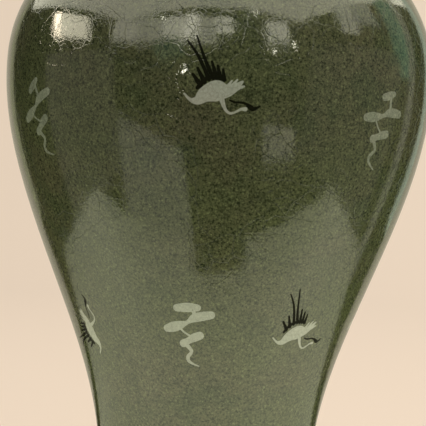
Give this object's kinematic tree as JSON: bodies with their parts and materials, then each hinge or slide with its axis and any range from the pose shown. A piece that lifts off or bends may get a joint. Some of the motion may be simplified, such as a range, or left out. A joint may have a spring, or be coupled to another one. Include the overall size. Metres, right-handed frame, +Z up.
{
  "type": "vase",
  "caption": "Tall high-shouldered prunus vase in crackled grey-green celadon, with inlaid white and black flying cranes and drifting clouds.",
  "frame": {"origin": "centre of the foot, on the surface that the vase stands on", "axes": "+Z up along the axis of the pot, from the foot to the mouth; the front, with the flying crane, faces -Y"},
  "size_m": [0.2148, 0.2148, 0.35],
  "materials": {
    "celadon": "glossy crackled grey-green celadon glaze",
    "white_slip": "white slip inlay under clear celadon glaze",
    "black_slip": "black slip inlay under clear celadon glaze",
    "bare_clay": "matt unglazed reddish-brown stoneware",
    "luting_slip": "matt dried slip inside the joints"
  },
  "bodies": {
    "root": {"foot_ring": "bare_clay", "lower_body": "celadon", "upper_body": "celadon", "neck_collar": "celadon", "luting_slip_foot": "luting_slip", "luting_slip_body": "luting_slip", "luting_slip_neck": "luting_slip", "foot_line": "white_slip", "neck_line": "white_slip", "upper_crane_1_body": "white_slip", "upper_crane_1_plumes": "black_slip", "upper_crane_1_beak": "black_slip", "upper_crane_2_body": "white_slip", "upper_crane_2_plumes": "black_slip", "upper_crane_2_beak": "black_slip", "upper_crane_3_body": "white_slip", "upper_crane_3_plumes": "black_slip", "upper_crane_3_beak": "black_slip", "upper_crane_4_body": "white_slip", "upper_crane_4_plumes": "black_slip", "upper_crane_4_beak": "black_slip", "upper_cloud_1": "white_slip", "upper_cloud_2": "white_slip", "upper_cloud_3": "white_slip", "upper_cloud_4": "white_slip", "lower_crane_1_body": "white_slip", "lower_crane_1_plumes": "black_slip", "lower_crane_1_beak": "black_slip", "lower_crane_2_body": "white_slip", "lower_crane_2_plumes": "black_slip", "lower_crane_2_beak": "black_slip", "lower_crane_3_body": "white_slip", "lower_crane_3_plumes": "black_slip", "lower_crane_3_beak": "black_slip", "lower_crane_4_body": "white_slip", "lower_crane_4_plumes": "black_slip", "lower_crane_4_beak": "black_slip", "lower_cloud_1": "white_slip", "lower_cloud_2": "white_slip", "lower_cloud_3": "white_slip", "lower_cloud_4": "white_slip"}
  },
  "joints": []
}
